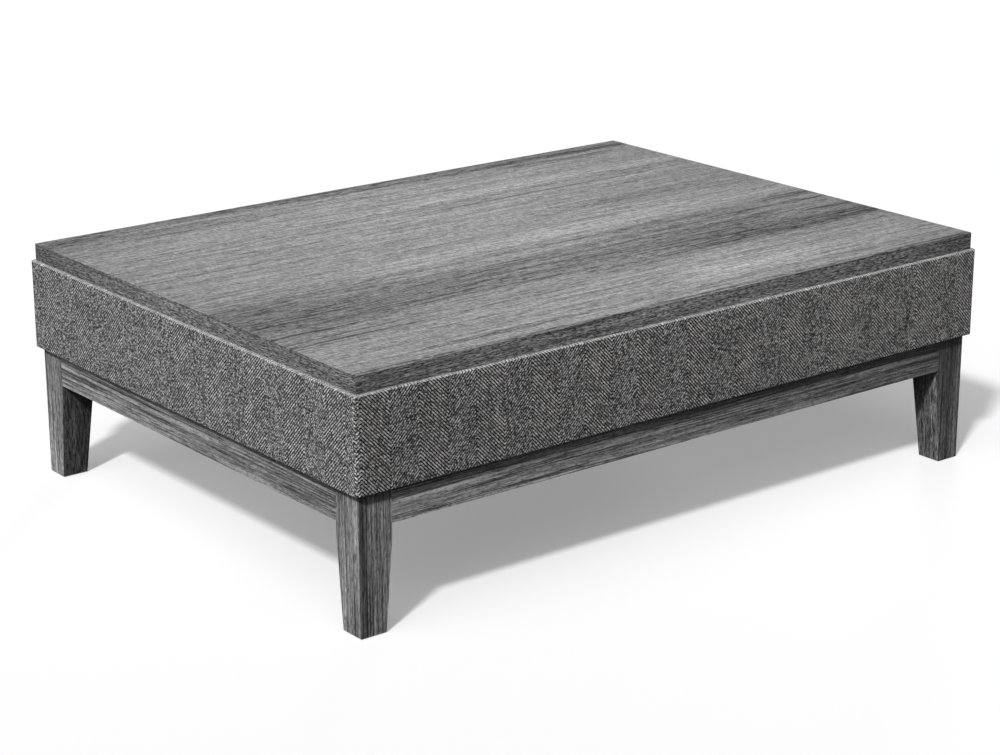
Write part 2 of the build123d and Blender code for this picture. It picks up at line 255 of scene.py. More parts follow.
# %% The finish being drawn
class Finish:
    """A material, or a world, under construction."""

    def __init__(self, name, kind=bpy.data.materials):
        self.material = kind.new(name)
        self.material.use_nodes = True
        self.tree = self.material.node_tree
        self.tree.nodes.clear()

    def add(self, kind, settings=None, sockets=None, output=0):
        """Add a node: first its settings, then the values or links of its sockets."""
        node = self.tree.nodes.new(kind)
        for name, value in (settings or {}).items():
            setattr(node, name, value)
        for name, value in (sockets or {}).items():
            if isinstance(value, Varying):
                self.tree.links.new(value.socket, node.inputs[name])
            else:
                node.inputs[name].default_value = value
        return Varying(self, node.outputs[output]) if node.outputs else None

    def place(self):
        """The three coordinates of a point in millimetres."""
        metres = self.add("ShaderNodeTexCoord", output="Object")
        scaled = self.add(
            "ShaderNodeVectorMath", {"operation": "SCALE"}, {0: metres, "Scale": 1 / mm}
        )
        return [self.add("ShaderNodeSeparateXYZ", None, {0: scaled}, part) for part in range(3)]

    def vector(self, x, y, z):
        return self.add("ShaderNodeCombineXYZ", None, {0: x, 1: y, 2: z})

    def cloud(self, x, y, z, detail=2.0, roughness=0.5):
        """Soft noise from -1 to 1 whose blotches are about one unit across."""
        noise_value = self.add(
            "ShaderNodeTexNoise",
            None,
            {"Vector": self.vector(x, y, z), "Scale": 1, "Detail": detail, "Roughness": roughness},
        )
        return (noise_value - 0.5) * 4

    def cells(self, x, y, z, scale):
        """How far a point is from the middle of its cell, with `scale` cells to a unit."""
        sockets = {"Vector": self.vector(x, y, z), "Scale": scale}
        return self.add("ShaderNodeTexVoronoi", {"feature": "F1"}, sockets)

    def scatter(self, x, y):
        """One random number from 0 to 1 for each pair of whole numbers."""
        return self.add(
            "ShaderNodeTexWhiteNoise",
            {"noise_dimensions": "2D"},
            {"Vector": self.vector(x, y, 0)},
        )

    def relief(self, surface_height, depth):
        """The normal of a surface whose height of 0 to 1 stands for `depth` millimetres."""
        return self.add(
            "ShaderNodeBump",
            None,
            {"Height": surface_height, "Distance": depth * mm, "Strength": 1.0},
        )

    def close(self, **sockets):
        """Feed the surface shader, whose socket names are given with _ for a space."""
        named = {name.replace("_", " "): value for name, value in sockets.items()}
        shader = self.add("ShaderNodeBsdfPrincipled", None, named)
        self.add("ShaderNodeOutputMaterial", None, {"Surface": shader})
        return self.material


print("finish class ready")

# %% [markdown]
# ## Floor and background
#
# A white sweep is a floor that is lit until it is as white as the paper. To get there without
# pouring more light on the table, the floor has two shaders. The camera and the reflections see
# one that is part plain white and part glow, so the lit floor is just white and the shadow stays
# grey. The light that bounces from the floor to the table uses a darker plain one. The world is
# made the same way: white where it is seen, dim where it lights.

# %% Floor
floor_shadow_glow = 0.285
floor_lit_share = 0.75
floor_bounce = 0.03
sky_strength = 0.02
floor_half = 60


def seen_directly(finish):
    """1 for rays of the camera, of reflections and of clear materials, 0 for light."""
    rays = [
        finish.add("ShaderNodeLightPath", output=kind)
        for kind in ("Is Camera Ray", "Is Glossy Ray", "Is Transmission Ray")
    ]
    return rays[0].most(rays[1]).most(rays[2])


def grey(tone):
    return (tone, tone, tone, 1)


sweep = Finish("white sweep")
bounce = sweep.add("ShaderNodeBsdfDiffuse", None, {"Color": grey(floor_bounce)})
paper = sweep.add("ShaderNodeBsdfDiffuse", None, {"Color": grey(floor_lit_share)})
glow = sweep.add(
    "ShaderNodeEmission", None, {"Color": grey(1), "Strength": floor_shadow_glow}
)
shown = sweep.add("ShaderNodeAddShader", None, {0: paper, 1: glow})
either = sweep.add("ShaderNodeMixShader", None, {0: seen_directly(sweep), 1: bounce, 2: shown})
sweep.add("ShaderNodeOutputMaterial", None, {"Surface": either})

floor_mesh = bpy.data.meshes.new("floor")
round_the_corners = ((-1, -1), (1, -1), (1, 1), (-1, 1))
floor_corners = [(x * floor_half, y * floor_half, 0) for x, y in round_the_corners]
floor_mesh.from_pydata(floor_corners, [], [(0, 1, 2, 3)])
floor_mesh.materials.append(sweep.material)
floor = bpy.data.objects.new("floor", floor_mesh)
bpy.context.scene.collection.objects.link(floor)

sky = Finish("studio", bpy.data.worlds)
bpy.context.scene.world = sky.material
dim = sky.add("ShaderNodeBackground", None, {"Color": grey(1), "Strength": sky_strength})
white = sky.add("ShaderNodeBackground", None, {"Color": grey(1), "Strength": 1.0})
either = sky.add("ShaderNodeMixShader", None, {0: seen_directly(sky), 1: dim, 2: white})
sky.add("ShaderNodeOutputWorld", None, {"Surface": either})

bpy.context.scene.view_settings.view_transform = "Standard"
print("floor and background set")

# %% [markdown]
# ## Wood
#
# The base and the edges of the top are solid wood with a dark grey stain. Stain sinks into the
# soft early part of each growth ring and into the pores, so the grain shows as dark lines on a
# mid grey. A picture of wood could be wrapped round each piece, but then the grain stops at every
# edge. Here the wood is solid: the finish works out how far each point is from the pith of the
# log, bends that distance a little, and cuts it into rings. A face along the log shows
# stripes, and the stripes run round the corner by themselves.

# %% Wood finish
wood_gloss = 0.06
stretch_of_log = 137.0
taper_top = 139
leg_width, foot_width = 54, 42
taper_slope = (leg_width - foot_width) / (taper_top - 1)


def wood_finish(
    name,
    grain,
    pith,
    tone,
    fade=(1, 1),
    ring=4.6,
    seed=0.0,
    streaks=1.0,
    dashes=1.0,
    dash_run=26,
    front=None,
):
    """Solid stained wood for one piece. `grain` is the axis that it runs along, and `pith` says
    where the middle of the log lies from the piece's own middle. `fade` is how strong the tone
    is at the low end, perhaps halfway, and at the high end: the wood's own tone, and on some
    pieces painted shade. `front` paints shade on a leg's front face: whether that face is
    tapered, its share of the tone at the foot and at the top, and its strips of deeper or
    lighter staining, each from, to and its share."""
    finish = Finish(name)
    coordinates = finish.place()
    low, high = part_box(name)
    middle = (low + high) / 2 / mm
    half_run = (high - low)[grain] / 2 / mm
    from_middle = coordinates[grain] - middle[grain]
    along = from_middle + seed * stretch_of_log
    across, deep = [coordinates[axis] - middle[axis] for axis in range(3) if axis != grain]
    bend = finish.cloud(along / 260, across / 55, deep / 55) * 4
    wander = finish.cloud(along / 900, across / 160, deep / 160 + 7.3, 1) * 8
    reach = ((across - pith[0]) ** 2 + (deep - pith[1]) ** 2).root() + bend + wander
    uneven = finish.cloud(reach / 11, along / 2500, seed + 3.1, 1) * 2.6
    rings = ((reach + uneven) / ring).fract()
    late = rings.rise(0.25, 0.85) * (1 - rings.rise(0.88, 1.0))
    early = 1 - rings.rise(0.0, 0.3)
    streak = finish.cloud(along / 200, across / 4.5, deep / 4.5, 2)
    band = finish.cloud(along / 300, across / 9, deep / 9 + 3, 2)
    broad = finish.cloud(along / 420, across / 24, deep / 24 + 1.7, 2)
    fibre = finish.cloud(along / 9, across / 1.4, deep / 1.4, 2)
    long_line = finish.cloud(along / 190, across / 2.1, deep / 2.1 + 11, 1).rise(0.15, 0.5)
    short_line = finish.cloud(along / dash_run, across / 1.6, deep / 1.6 + 5, 1).rise(0.15, 0.55)
    pore = finish.cloud(along / 7, across / 1.2, deep / 1.2, 1).rise(0.15, 0.5)
    run = (from_middle / half_run + 1) / 2
    first, *halfway, last = fade
    # The fade from end to end: the wood's own tone, and on some pieces painted shade where the
    # light falls off.
    stain_and_shade = run * (last - first) + first
    if halfway:
        stain_and_shade = stain_and_shade + run * (1 - run) * (4 * halfway[0] - 2 * (first + last))
    # Painted shade on a leg's front face, with strips of deeper or lighter staining.
    if front:
        tapered, at_foot, at_top, strips = front
        x, y, z = coordinates
        face = y - low.y / mm
        if tapered:
            face = face - (taper_top - z).most(0) * taper_slope
        share = run * (at_top - at_foot) + at_foot
        for begin, end, strip_share in strips:
            beside = (x - low.x / mm - (begin + end) / 2).absolute()
            half = (end - begin) / 2
            share = share * (1 - (1 - beside.rise(half - 1, half + 1)) * (1 - strip_share))
        on_face = 1 - face.rise(0.4, 2.5)
        stain_and_shade = stain_and_shade * (1 - on_face * (1 - share))
    shade = (streak * 0.5 + band * 0.5 + broad * 0.45 - late * 0.4) * streaks
    shade = shade - long_line * (1.6 * streaks) + fibre * (0.5 * dashes) - short_line * dashes
    shade = shade - pore * (0.8 * dashes + early * 0.4)
    colour = (2**shade * stain_and_shade * tone).least(0.6)
    height_field = fibre * 0.2 - long_line * 0.4 - pore * 0.7
    return finish.close(
        Base_Color=colour,
        Roughness=0.52 + 0.12 * pore - 0.05 * late,
        Specular_IOR_Level=wood_gloss,
        Normal=finish.relief(height_field, 0.12),
    )


def dress(name, material):
    """Put a finish on a piece of the construction."""
    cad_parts[name].material_slots[0].material = material


print("wood finish ready")

# %% [markdown]
# ## Each piece its own stick of wood
#
# The pieces of a real table come from different places in the log, and each takes the stain a
# little differently. So every leg, rail and lipping has its own pith, its own stretch of the
# log and its own fade from end to end. Some fades are painted shade: the front rail and the
# front lipping darken to the right and the front-right leg is darker all over, where the
# light falls off. The front face of each leg is painted darker as shade too: on the front legs
# towards the top, under the band, and on the back legs all over, under the table. Two legs
# also have strips down the front face where the stain went in deeper, or not so deep.

# %% Wood on each piece
wood_tone = 0.37
lipping_tone = 0.3
sides = ("front", "right", "back", "left")
corners = ("front_left", "front_right", "back_right", "back_left")
leg_piths = {
    "front_left": (-118, 66),
    "front_right": (96, -81),
    "back_right": (-77, -90),
    "back_left": (64, 112),
}
# painted shade: the front-right leg is darker all over, where the light falls off to the right
leg_fades = {
    "front_left": (0.93, 0.93),
    "front_right": (0.62, 0.62),
    "back_right": (0.85, 0.85),
    "back_left": (1.36, 0.9),
}
# painted shade on each leg's front face: on the front legs darker towards the top under the band,
# on the back legs dark all over under the table; the strips are stain
leg_front_shade_and_strips = {
    # whether tapered, share at the foot, share at the top, strips
    "front_left": (False, 1.06, 0.84, ((-6, 12, 0.45),)),
    "front_right": (False, 0.74, 0.44, ((22, 31, 0.66), (42, 49, 1.8))),
    "back_left": (True, 0.26, 0.3, ()),
    "back_right": (True, 0.6, 0.6, ()),
}
leg_dashes = {"front_left": 1.0, "front_right": 1.3, "back_right": 1.2, "back_left": 1.35}
rail_piths = {"front": (40, -88), "right": (-60, 74), "back": (75, 66), "left": (52, -96)}
# the front rail's fade, darker to the right, is painted shade where the light falls off
rail_fades = {"front": (1.4, 0.5), "right": (0.8, 0.9), "back": (0.8, 0.9), "left": (0.73, 1.3)}
# the front lipping's fade, darker to the right, is partly painted shade where the light falls off
lipping_fades = {
    "front": (0.88, 1.08, 0.54),
    "right": (0.88, 0.88),
    "back": (0.88, 0.88),
    "left": (0.76, 0.82, 0.58),
}
for index, corner in enumerate(corners):
    name = f"leg_{corner}"
    dress(
        name,
        wood_finish(
            name,
            2,
            leg_piths[corner],
            wood_tone,
            leg_fades[corner],
            seed=index,
            dashes=leg_dashes[corner],
            front=leg_front_shade_and_strips[corner],
        ),
    )
for index, side in enumerate(sides):
    grain, pith = index % 2, rail_piths[side]
    rail = f"rail_{side}"
    dress(rail, wood_finish(rail, grain, pith, wood_tone, rail_fades[side], seed=index + 4.3))
    lipping = f"lipping_{side}"
    fade = lipping_fades[side]
    dress(
        lipping,
        wood_finish(
            lipping,
            grain,
            pith,
            lipping_tone,
            fade,
            ring=5.0,
            seed=index + 9.7,
            streaks=0.5,
            dashes=1.9,
            dash_run=11,
        ),
    )
dress("cross_rail", wood_finish("cross_rail", 1, (70, 35), wood_tone, seed=20.2))
print("wood on", len(corners) + 2 * len(sides) + 1, "pieces")

# %% [markdown]
# ## Veneer on the top
#
# The face of the top is veneer, sliced from the log nearly parallel to the rings. Such a slice
# shows broad light and dark bands where it runs along a ring, and here and there a long flame
# where it cuts across one. Noise makes fine grain well, but the broad bands are what the eye
# knows this top by, so they are placed one by one: each has a level across the top, a width, two
# ends and a strength, and the same slow bends as the grain carry them along.

# %% Bands of the veneer
# Some light bands towards the right end also paint a soft sheen on the top.
top_bands = (
    # from, to, its level at the start, in the middle and at the end, half width, halvings of tone
    (-800, 800, 424, 420, 418, 18, 0.73),
    (-900, -380, 408, 404, 400, 14, 0.44),
    (-160, 360, 396, 397, 396, 6, 0.42),
    (230, 900, 400, 402, 408, 8, 0.61),
    (380, 900, 400, 404, 410, 7, 0.6),
    (-900, -280, 389, 388, 384, 4, 0.29),
    (-800, -60, 364, 360, 356, 18, 0.37),
    (-900, -180, 346, 346, 344, 5, 0.16),
    (-260, 40, 347, 353, 353, 3, 0.29),
    (90, 500, 318, 320, 316, 34, -0.13),
    (260, 560, 377, 372, 366, 8, 0.35),
    (-250, 900, 268, 267, 264, 20, -0.27),
    (-900, 900, 253, 253, 250, 5, -0.11),
    (-570, -230, 243, 241, 240, 4, 0.32),
    (-230, -130, 243, 242, 238, 7, 0.28),
    (-150, 900, 240, 237, 236, 7, 0.22),
    (-390, -160, 223, 211, 210, 3, 0.31),
    (-140, 900, 208, 210, 208, 3.5, 0.36),
    (-900, -430, 198, 192, 183, 3, 0.23),
    (-390, -220, 179, 168, 160, 3, 0.34),
    (-210, -110, 150, 142, 136, 14, -0.2),
    (-900, -240, 118, 117, 112, 2.5, 0.15),
    (60, 900, 86, 80, 62, 16, 0.18),
    (-360, 800, -24, -26, -30, 24, -0.35),
    (-900, -330, -80, -74, -68, 3.5, 0.2),
    (-340, 120, -66, -76, -70, 3.5, 0.2),
    (440, 900, -72, -74, -80, 12, 0.72),
    (-340, 160, -90, -90, -88, 9, -0.25),
    (300, 900, -102, -112, -126, 4, 0.6),
    (-80, 480, -166, -134, -158, 3, 0.2),
    (300, 420, -164, -166, -164, 4.5, 0.33),
    (480, 900, -168, -166, -162, 6, 0.75),
    (-500, -350, -150, -144, -136, 5, 0.36),
    (-900, -280, -182, -184, -188, 14, 0.19),
    (-310, 120, -189, -202, -208, 3, 0.25),
    (190, 420, -203, -202, -199, 4.5, 0.2),
    (-900, -400, -232, -234, -236, 3.5, 0.55),
    (-370, 110, -213, -217, -220, 3, 0.25),
    (80, 900, -212, -216, -214, 22, 0.62),
    (-70, 330, -241, -234, -238, 4, 0.39),
    (300, 900, -238, -230, -214, 7, 0.75),
    (-800, 800, -150, -152, -150, 84, 0.39),
    (-800, 800, -188, -190, -188, 44, 0.14),
    (-900, -320, -264, -265, -262, 3, 0.47),
    (-900, -340, -283, -282, -284, 3.5, 0.57),
    (-350, -50, -284, -283, -285, 2.5, 0.42),
    (-900, -430, -294, -294, -293, 3, 0.46),
    (-420, 130, -322, -321, -321, 3, 0.16),
    (20, 380, -344, -344, -344, 38, -0.3),
    (380, 900, -274, -273, -276, 6, 0.21),
    (-500, 20, -391, -395, -394, 6, 0.34),
    (0, 900, -393, -396, -396, 7, 0.21),
    (-60, 80, -404, -407, -408, 4, 0.36),
    (-900, 900, -384, -384, -384, 4, -0.12),
    (-900, 900, -428.5, -428.5, -428.5, 4, 0.61),
    (-900, -380, -140, -140, -140, 70, 0.4),
)
print(len(top_bands), "bands")

# %% [markdown]
# ## The veneer's own grain
#
# A band darkens or lightens the tone by so many halvings, and a narrow one has crisper edges
# than a broad one. Some of the light bands towards the right end also paint a soft sheen. Over
# the bands lie fine lines, dashes and pores, stronger where a band is dark, and a faint ripple
# across the grain. The underside of the top has the same veneer without the bands.

# %% Veneer finish
veneer_tone = 0.35
backing_tone = 0.3
end_darkening = 0.2
veneer_gloss = 0.015
ripple_pitch = 7.4
veneer_fade = (1.08, 0.92)
band_strength = 0.97
crisp, blurred = 0.4, 0.9
blurred_from = 10


def veneer_finish(name, tone, bands=()):
    """Sliced veneer with its grain along X."""
    finish = Finish(name)
    along, across, _ = finish.place()
    bend = finish.cloud(along / 260, across / 60, 0.0, 2) * 3
    wiggle = finish.cloud(along / 60, across / 16, 4.4, 1) * 1.2
    line = across + bend + wiggle
    broad = finish.cloud(along / 1600, line / 46, 2.2, 2.5, 0.55)
    fine = finish.cloud(along / 520, line / 11, 8.8, 3, 0.6)
    streak = finish.cloud(along / 160, line / 6, 1.1, 2)
    fibre = finish.cloud(along / 3.5, across / 4.5, 6.6, 2)
    tick = finish.cloud(along / 2.6 + across / 9, across / 12, 4.1, 2)
    sway = finish.cloud(along / 90, across / 14, 5.9, 1) * 0.8
    ripple = ((along / ripple_pitch - across / 22 + sway) * (2 * math.pi)).sine()
    rippled = finish.cloud(along / 220, line / 9, 6.1, 1).rise(-0.5, 0.7)
    long_line = finish.cloud(along / 190, line / 4.2, 7.7, 1).rise(0.15, 0.6)
    dash = finish.cloud(along / 24, line / 3.4, 9.3, 1).rise(0.15, 0.6)
    pore = finish.cloud(along / 9, across / 3.0, 3.3, 1).rise(0.3, 0.8)
    darkness = 0.0
    for first, last, at_start, halfway, at_end, half, strength in bands:
        half_run = (last - first) / 2
        turn = along / half_run - (first + last) / 2 / half_run
        level = turn * ((at_end - at_start) / 2) + halfway
        if curve := (at_start + at_end) / 2 - halfway:
            level = level + turn * turn * curve
        blur = crisp if half < blurred_from else blurred
        beside = (line - level).absolute().rise(half * (1 - blur), half * (1 + blur))
        beyond = turn.absolute().rise(1 - 0.7 * blur, 1)
        darkness = (1 - beside) * (1 - beyond) * (strength * band_strength) + darkness
    marks = darkness.most(0) * 0.9 + 0.35 if bands else 0.6
    shade = broad * 0.1 + fine * 0.36 + streak * 0.24 + fibre * 0.36 + tick * 0.54
    shade = shade + ripple * rippled * 0.12
    shade = shade - marks * (long_line * 1.1 + dash * 1.7 + pore * 1.1) - darkness
    # The fade from left to right is partly painted shade, darker to the right as along the front
    # rail.
    run = along / (length / mm) + 0.5
    stain_and_shade = run * (veneer_fade[1] - veneer_fade[0]) + veneer_fade[0]
    towards_end = along * along / (length / 2 / mm) ** 2
    colour = (2**shade * stain_and_shade * (1 - towards_end * end_darkening) * tone).least(0.7)
    height_field = fibre * 0.3 - long_line * 0.3 - pore * 0.8
    return finish.close(
        Base_Color=colour,
        Roughness=0.5 + 0.1 * pore,
        Specular_IOR_Level=veneer_gloss,
        Normal=finish.relief(height_field, 0.06),
    )


dress("face_veneer", veneer_finish("face_veneer", veneer_tone, top_bands))
dress("backing_veneer", veneer_finish("backing_veneer", backing_tone))
print("veneer on the top's two faces")

# %% [markdown]
# ## Timber, boards and core inside
#
# Under the cloth and the veneer the box is made of plain stuff: planed softwood for blocks,
# posts and bearers, birch plywood for the boards on edge, and fibreboard for the core of the
# top. They are only seen from below or when a piece is lifted off, but a part that is used
# again may be taken apart, so each one gets its own finish too.

# %% Softwood, plywood and fibreboard
softwood_pith = (31, 57)
softwood_ring = 4.5
ply_thickness = 1.4


def two_tones(finish, share, first, second):
    """A colour mixed from two: `share` is how much of the second."""
    return finish.add(
        "ShaderNodeMix",
        {"data_type": "RGBA", "clamp_factor": True},
        {0: share, 6: (*first, 1), 7: (*second, 1)},
        output=2,
    )


def timber_finish(name, grain):
    """Planed softwood with wide pale rings and thin brown late wood."""
    finish = Finish(name)
    coordinates = finish.place()
    along = coordinates[grain]
    across, deep = [coordinates[axis] for axis in range(3) if axis != grain]
    bend = finish.cloud(along / 300, across / 50, deep / 50) * 3
    reach = ((across - softwood_pith[0]) ** 2 + (deep - softwood_pith[1]) ** 2).root() + bend
    rings = (reach / softwood_ring).fract()
    late = rings.rise(0.4, 0.92) * (1 - rings.rise(0.92, 1.0))
    fibre = finish.cloud(along / 40, across / 1.2, deep / 1.2, 2)
    share = late * 0.75 + fibre * 0.2 + 0.1
    return finish.close(
        Base_Color=two_tones(finish, share, (0.68, 0.55, 0.39), (0.47, 0.32, 0.18)),
        Roughness=0.7 + 0.08 * fibre,
        Specular_IOR_Level=0.25,
        Normal=finish.relief(fibre * 0.4 + late * 0.3, 0.12),
    )


def plywood_finish(name, thickness_axis):
    """Birch plywood: figure on the faces and, on the edges, one ply across the next."""
    finish = Finish(name)
    coordinates = finish.place()
    low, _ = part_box(name)
    depth = coordinates[thickness_axis] - low[thickness_axis] / mm
    along = coordinates[1 - thickness_axis]
    up = coordinates[2]
    ply = (depth / ply_thickness).floor()
    crossed = ply.cycle(2)
    glue = ((depth / ply_thickness).fract() - 0.5).absolute().rise(0.44, 0.5)
    figure = finish.cloud(along / 260, up / 14, ply * 3.3, 2.5)
    fibre = finish.cloud(along / 22, up / 1.3, ply, 2)
    share = figure * 0.25 + fibre * 0.15 + crossed * 0.3 + glue * 0.6 + 0.1
    return finish.close(
        Base_Color=two_tones(finish, share, (0.72, 0.59, 0.42), (0.46, 0.33, 0.20)),
        Roughness=0.65 + 0.06 * fibre,
        Specular_IOR_Level=0.25,
        Normal=finish.relief(fibre * 0.5 - glue * 0.4, 0.08),
    )


def fibreboard_finish(name):
    """Pressed fibres: a fine felt of short brown threads."""
    finish = Finish(name)
    x, y, z = finish.place()
    felt = finish.cloud(x / 1.6, y / 1.6, z / 0.7, 3, 0.7)
    fleck = finish.cloud(x / 5, y / 5, z / 1.5 + 9, 2)
    share = felt * 0.4 + fleck * 0.25 + 0.45
    return finish.close(
        Base_Color=two_tones(finish, share, (0.50, 0.38, 0.27), (0.38, 0.28, 0.19)),
        Roughness=0.8 + 0.06 * felt,
        Specular_IOR_Level=0.2,
        Normal=finish.relief(felt, 0.08),
    )


upright_timber = timber_finish("upright softwood", 2)
timber_front_to_back = timber_finish("softwood front to back", 1)
timber_left_to_right = timber_finish("softwood left to right", 0)
for corner in corners:
    dress(f"corner_post_{corner}", upright_timber)
    dress(f"corner_block_{corner}", timber_left_to_right)
for place in ("left", "centre", "right"):
    dress(f"bottom_bearer_{place}", timber_front_to_back)
    dress(f"top_bearer_{place}", timber_front_to_back)
for index, side in enumerate(sides):
    name = f"box_board_{side}"
    dress(name, plywood_finish(name, 1 - index % 2))
dress("top_core", fibreboard_finish("top_core"))
print("finishes inside the box: softwood, plywood, fibreboard")

# %% [markdown]
# ## Tweed
#
# Tweed like this is woven from a light warp and a dark weft. Each warp thread goes over two
# weft threads and under two, one step later than its neighbour, which draws slanting lines.
# After 36 threads the step turns round, and the slant with it: that is the herringbone. A picture
# of the cloth would repeat, and noise alone has no threads. So the finish counts: which warp
# thread a point is on, which weft thread, and which of the two lies on top there.

# %% Tweed finish
column_width = 48
threads_to_a_column = 36
warp_pitch = column_width / threads_to_a_column
weft_pitch = 1.39
front_peak = -length / 2 / mm + 8.4
side_peak = -width / 2 / mm + 24
tweed_tone = 0.139
top_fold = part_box("cloth_cover")[1].z / mm


def tweed_finish(name):
    """Herringbone tweed that follows the band round the box and over its edges."""
    finish = Finish(name)
    x, y, z = finish.place()
    from_side = length / 2 / mm - x.absolute()
    from_front = width / 2 / mm - y.absolute()
    on_side = from_side < from_front
    run = (x - front_peak) + on_side * ((y - side_peak) - (x - front_peak))
    turned_in = (from_side.least(from_front) - 4).most(0)
    up = z + turned_in
    warp = run.to_and_fro(column_width) / warp_pitch
    weft = up / weft_pitch
    warp_number = warp.floor()
    weft_number = weft.floor()
    warp_on_top = (warp_number + weft_number).cycle(4) < 1.5
    column = (run / column_width).floor() + on_side * 50
    step = ((warp_number + weft_number) / 4).floor()
    warp_float = finish.scatter(warp_number + column * 40, step)
    weft_float = finish.scatter(weft_number + 500, step + column * 40)
    warp_thread = finish.scatter(warp_number, column)
    weft_thread = finish.scatter(weft_number, on_side * 3 + 7.0)
    speck = finish.cloud(run / 2.6, up / 2.4, 2.3, 1)
    mottle = finish.cloud(run / 7, up / 6, 4.7, 1)
    second = column.cycle(2)
    clear = finish.cloud(run / 38, up / 55, 9.0, 2).rise(-0.7, 0.5) * 0.35 + 0.65
    clear = clear * (1 - second * 0.2) * (1 - on_side * 0.15)
    # The edges of each thread are painted darker: painted shade where the round yarn turns away and
    # sinks between its neighbours.
    warp_round = (warp.fract() * math.pi).sine()
    weft_round = (weft.fract() * math.pi).sine()
    warp_shade = clear * 1.9 + (warp_float - 0.5) * 1.5 + (warp_thread - 0.5) * 0.5
    warp_shade = warp_shade + (warp_round - 0.7) * 0.8
    weft_shade = (weft_float - 0.5) * 2.6 + (weft_thread - 0.5) * 0.6 - clear * 3.2
    weft_shade = weft_shade + (weft_round - 0.7) * 0.8
    shade = weft_shade + warp_on_top * (warp_shade - weft_shade)
    # Painted highlight: the tweed over the top edge is lighter and less patterned, where light
    # catches the nap of the fold.
    fold_highlight = z.rise(top_fold - 1.5, top_fold - 0.5)
    fuzz = finish.cloud(x / 0.35, y / 0.35, z / 0.35, 2)
    threads = (2 ** (fold_highlight * 1.6 + shade * (1 - fold_highlight * 0.4) + fuzz * 0.1) * tweed_tone).least(0.6)
    flecks = speck * (second * 0.7 + 2.1) + mottle * 0.6
    colour = (threads * 2 ** (flecks * (1 - fold_highlight * 0.6))).least(0.85)
    thread = weft_round * 0.6 + warp_on_top * (warp_round - weft_round * 0.6)
    return finish.close(
        Base_Color=colour,
        Roughness=0.86 + 0.05 * fuzz,
        Specular_IOR_Level=0.05,
        Sheen_Weight=0.04,
        Sheen_Roughness=0.5,
        Normal=finish.relief(thread + fuzz * 0.08, 0.35),
    )


tweed = tweed_finish("herringbone tweed")
print("tweed:", column_width, "mm columns,", round(warp_pitch, 2), "mm between warp threads")

# %% [markdown]
# ## Foam and dust cloth
#
# Between the boards and the tweed lies a thin sheet of open foam, a mass of tiny bubbles. Under
# the box a black cloth of pressed fibres keeps the dust out. Its surface carries a fine lattice
# of dots where a hot roller fused the fibres.

# %% Foam and dust cloth finishes
dot_step = 2.2


def foam_finish(name):
    """Open foam: pale bubbles with darker walls."""
    finish = Finish(name)
    x, y, z = finish.place()
    bubbles = finish.cells(x, y, z, 0.9)
    cloudy = finish.cloud(x / 60, y / 60, z / 60, 2)
    share = bubbles * 0.7 + cloudy * 0.15
    return finish.close(
        Base_Color=two_tones(finish, share, (0.88, 0.85, 0.73), (0.70, 0.66, 0.54)),
        Roughness=0.9 + 0.05 * cloudy,
        Specular_IOR_Level=0.2,
        Normal=finish.relief(1 - bubbles, 0.3),
    )


def dust_cloth_finish(name):
    """Black pressed fibres with a lattice of fused dots."""
    finish = Finish(name)
    x, y, z = finish.place()
    dots = (((x / dot_step).fract() - 0.5) ** 2 + ((y / dot_step).fract() - 0.5) ** 2).root()
    fused = 1 - dots.rise(0.16, 0.26)
    fibres = finish.cloud(x / 0.7, y / 5, z, 3, 0.7) + finish.cloud(x / 6, y / 0.6, z + 4, 3, 0.7)
    tone = (0.024 + fibres * 0.006 - fused * 0.008).most(0.006)
    return finish.close(
        Base_Color=tone,
        Roughness=0.82 - 0.2 * fused,
        Specular_IOR_Level=0.35,
        Normal=finish.relief(fibres * 0.25 - fused, 0.12),
    )


foam = foam_finish("open foam")
dust_cloth = dust_cloth_finish("dust cloth")
print("foam and dust cloth ready")

# %% [markdown]
# ## Stretching cloth
#
# Cloth that is pulled over a pad is never a perfect plane: it swells a little where the pad
# pushes and lies flat where it is stapled. Blender's cloth simulation does just that. The mesh
# is held where the real cloth is fastened, pushed from behind for twenty frames, and the result
# is kept as the new shape. A cap on how far a point may move keeps the piece in its place.

# %% Relax a sheet
cloth_quality = 6
cloth_mass = 0.3
stretch_stiffness = 30
bend_stiffness = 1


def add_piece(name, mesh, material):
    """A new piece in the scene, smooth shaded."""
    piece = bpy.data.objects.new(name, mesh)
    bpy.context.scene.collection.objects.link(piece)
    mesh.materials.append(material)
    mesh.polygons.foreach_set("use_smooth", [True] * len(mesh.polygons))
    return piece


def relax(piece, held, push, cap, weight=0.0, frames=20):
    """Let the cloth simulation shape a piece, with the points in `held` kept in place."""
    start = [point.co.copy() for point in piece.data.vertices]
    fastened = piece.vertex_groups.new(name="fastened")
    fastened.add(held, 1.0, "REPLACE")
    cloth_settings = piece.modifiers.new("cloth", "CLOTH")
    cloth_settings.point_cache.frame_start = 1
    cloth_settings.point_cache.frame_end = frames
    settings = cloth_settings.settings
    settings.quality = cloth_quality
    settings.mass = cloth_mass
    settings.tension_stiffness = stretch_stiffness
    settings.compression_stiffness = stretch_stiffness
    settings.bending_stiffness = bend_stiffness
    settings.vertex_group_mass = "fastened"
    settings.use_pressure = push != 0
    settings.uniform_pressure_force = push
    settings.effector_weights.gravity = weight
    for frame_number in range(1, frames + 1):
        bpy.context.scene.frame_set(frame_number)
    shaped = piece.evaluated_get(bpy.context.evaluated_depsgraph_get())
    ends = [point.co.copy() for point in shaped.data.vertices]
    piece.modifiers.remove(cloth_settings)
    piece.vertex_groups.remove(fastened)
    furthest = max((end - begin).length for begin, end in zip(start, ends))
    share = min(1.0, cap / furthest) if furthest else 0.0
    for point, begin, end in zip(piece.data.vertices, start, ends):
        point.co = begin + (end - begin) * share
    bpy.context.scene.frame_set(1)
    return furthest


